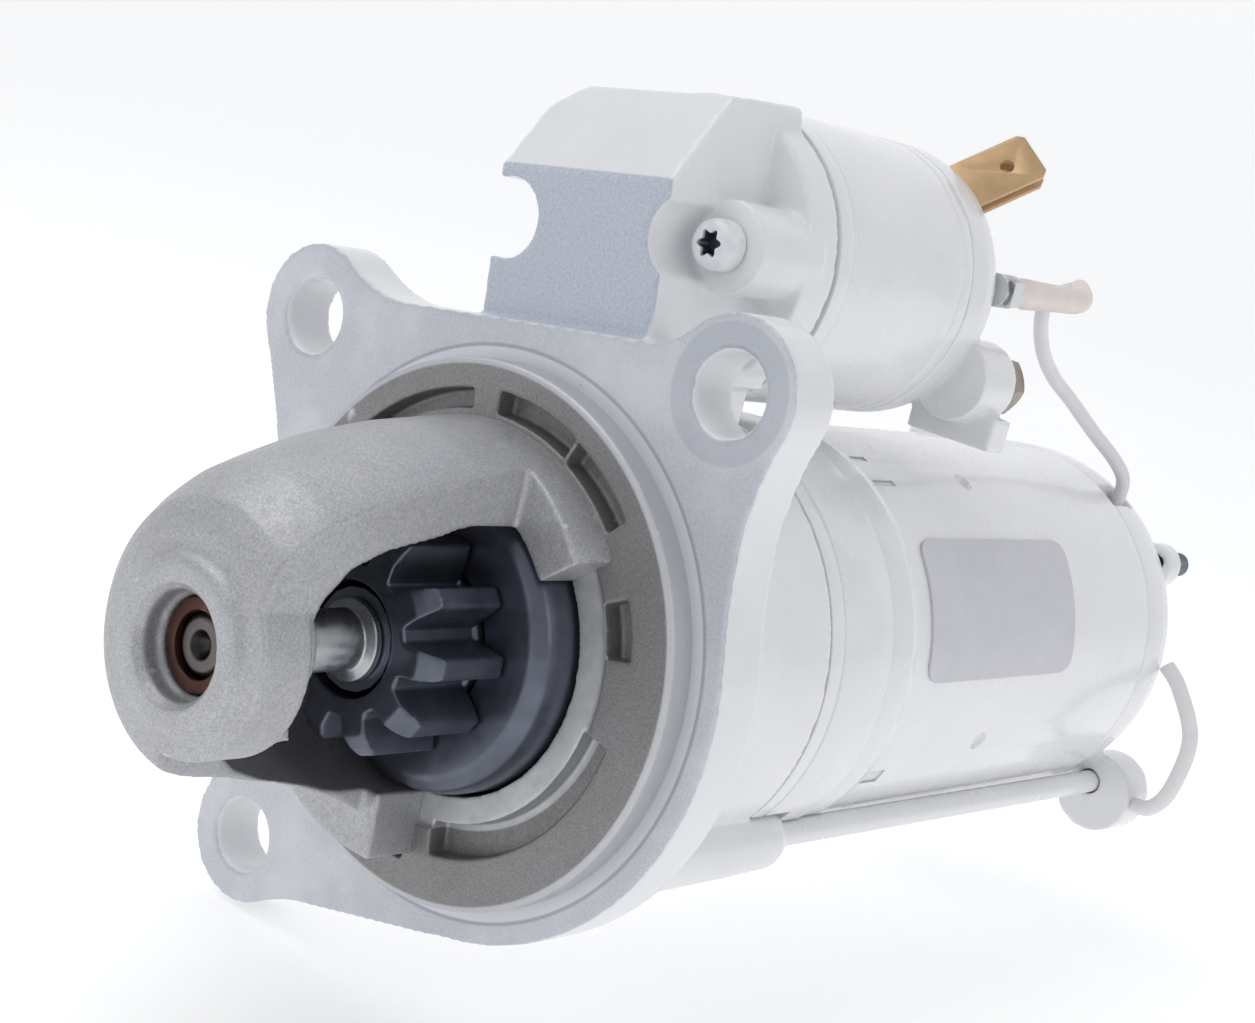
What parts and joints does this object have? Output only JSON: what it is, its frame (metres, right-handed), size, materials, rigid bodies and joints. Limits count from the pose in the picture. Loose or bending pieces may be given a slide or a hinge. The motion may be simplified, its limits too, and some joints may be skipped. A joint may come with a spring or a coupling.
{
  "type": "starter motor",
  "caption": "Geared starter motor for an engine: white cylindrical motor with a solenoid above it, a three-lug flange, an open cast nose and a steel pinion.",
  "frame": {"origin": "on the pinion shaft's axis, in the plane of the mounting face of the drive end flange", "axes": "+Y along the shaft towards the rear cover, so the nose and pinion point along -Y; +Z from the shaft's axis straight to the solenoid's axis; +X to the right when the nose is looked at from the front with the solenoid above"},
  "size_m": [0.1146, 0.2595, 0.1638],
  "materials": {
    "housing_paint": "gloss",
    "cast_metal": "as cast",
    "steel": "machined",
    "dark_steel": "hardened, oiled",
    "copper": "satin",
    "bronze": "sintered",
    "terminal_brass": "satin",
    "moulded": "satin",
    "magnet": "matt",
    "carbon": "matt",
    "label": "satin",
    "insulation": "satin"
  },
  "bodies": {
    "housing": {"drive_end_housing": "housing_paint", "gear_housing": "housing_paint", "yoke": "housing_paint", "rear_cover": "housing_paint", "solenoid_can": "housing_paint", "solenoid_cap": "housing_paint", "tie_rod_upper": "housing_paint", "tie_rod_lower": "housing_paint", "bearing_plate": "cast_metal", "lever_pivot_pin": "steel", "solenoid_core": "steel", "return_spring": "steel", "motor_terminal_nut": "steel", "battery_terminal_nut": "steel", "solenoid_screw_right": "steel", "solenoid_screw_left": "steel", "rear_stud": "dark_steel", "solenoid_coil": "copper", "motor_terminal": "copper", "battery_terminal": "copper", "nose_bush": "bronze", "rear_bush": "bronze", "spade_terminal": "terminal_brass", "ring_gear": "moulded", "brush_plate": "moulded", "pole_shoe_1": "magnet", "pole_shoe_2": "magnet", "pole_shoe_3": "magnet", "pole_shoe_4": "magnet", "brush_1": "carbon", "brush_2": "carbon", "brush_3": "carbon", "brush_4": "carbon", "label_plate": "label", "motor_lead": "insulation", "earth_lead": "insulation"},
    "armature": {"armature_shaft": "steel", "armature_core": "dark_steel", "armature_winding": "copper", "commutator": "copper"},
    "output": {"output_shaft": "steel", "stop_ring": "dark_steel"},
    "planet_1": {"planet_gear_1": "steel"},
    "planet_2": {"planet_gear_2": "steel"},
    "planet_3": {"planet_gear_3": "steel"},
    "clutch": {"clutch_shell": "dark_steel", "clutch_roller_1": "steel", "clutch_roller_2": "steel", "clutch_roller_3": "steel", "clutch_roller_4": "steel", "meshing_spring": "steel", "fork_ring_front": "dark_steel", "fork_ring_rear": "dark_steel", "collar_circlip": "steel"},
    "pinion": {"pinion": "dark_steel"},
    "lever": {"shift_lever": "moulded"},
    "plunger": {"plunger": "steel", "plunger_rod": "steel", "contact_disc": "copper"}
  },
  "joints": [
    {"name": "armature_spin", "type": "hinge", "parent": "housing", "child": "armature", "pos_m": [0, 0.11, 0], "axis": [0, 1, 0], "continuous": true},
    {"name": "output_spin", "type": "hinge", "parent": "housing", "child": "output", "pos_m": [0, 0, 0], "axis": [0, 1, 0], "continuous": true},
    {"name": "planet_1_spin", "type": "hinge", "parent": "output", "child": "planet_1", "pos_m": [0, 0.056, 0.0189], "axis": [0, 1, 0], "continuous": true},
    {"name": "planet_2_spin", "type": "hinge", "parent": "output", "child": "planet_2", "pos_m": [-0.01637, 0.056, -0.00945], "axis": [0, 1, 0], "continuous": true},
    {"name": "planet_3_spin", "type": "hinge", "parent": "output", "child": "planet_3", "pos_m": [0.01637, 0.056, -0.00945], "axis": [0, 1, 0], "continuous": true},
    {"name": "drive_slide", "type": "slide", "parent": "output", "child": "clutch", "axis": [0, -1, 0], "range_m": [0, 0.013], "stiffness_N_per_m": 1500, "springref_m": -0.006},
    {"name": "pinion_overrun", "type": "hinge", "parent": "clutch", "child": "pinion", "pos_m": [0, -0.02, 0], "axis": [0, 1, 0], "continuous": true},
    {"name": "lever_swing", "type": "hinge", "parent": "housing", "child": "lever", "pos_m": [0, 0.023, 0.04], "axis": [-1, 0, 0], "range_deg": [0, 18.63]},
    {"name": "plunger_slide", "type": "slide", "parent": "housing", "child": "plunger", "axis": [0, 1, 0], "range_m": [0, 0.00795], "deforming": ["return_spring"]}
  ],
  "couplings": [
    {"joint": "output_spin", "follows": "armature_spin", "ratio": 0.22222},
    {"joint": "planet_1_spin", "follows": "armature_spin", "ratio": -0.62222},
    {"joint": "planet_2_spin", "follows": "armature_spin", "ratio": -0.62222},
    {"joint": "planet_3_spin", "follows": "armature_spin", "ratio": -0.62222},
    {"joint": "lever_swing", "follows": "drive_slide", "rad_per_m": 25},
    {"joint": "plunger_slide", "follows": "drive_slide", "ratio": 0.61}
  ]
}
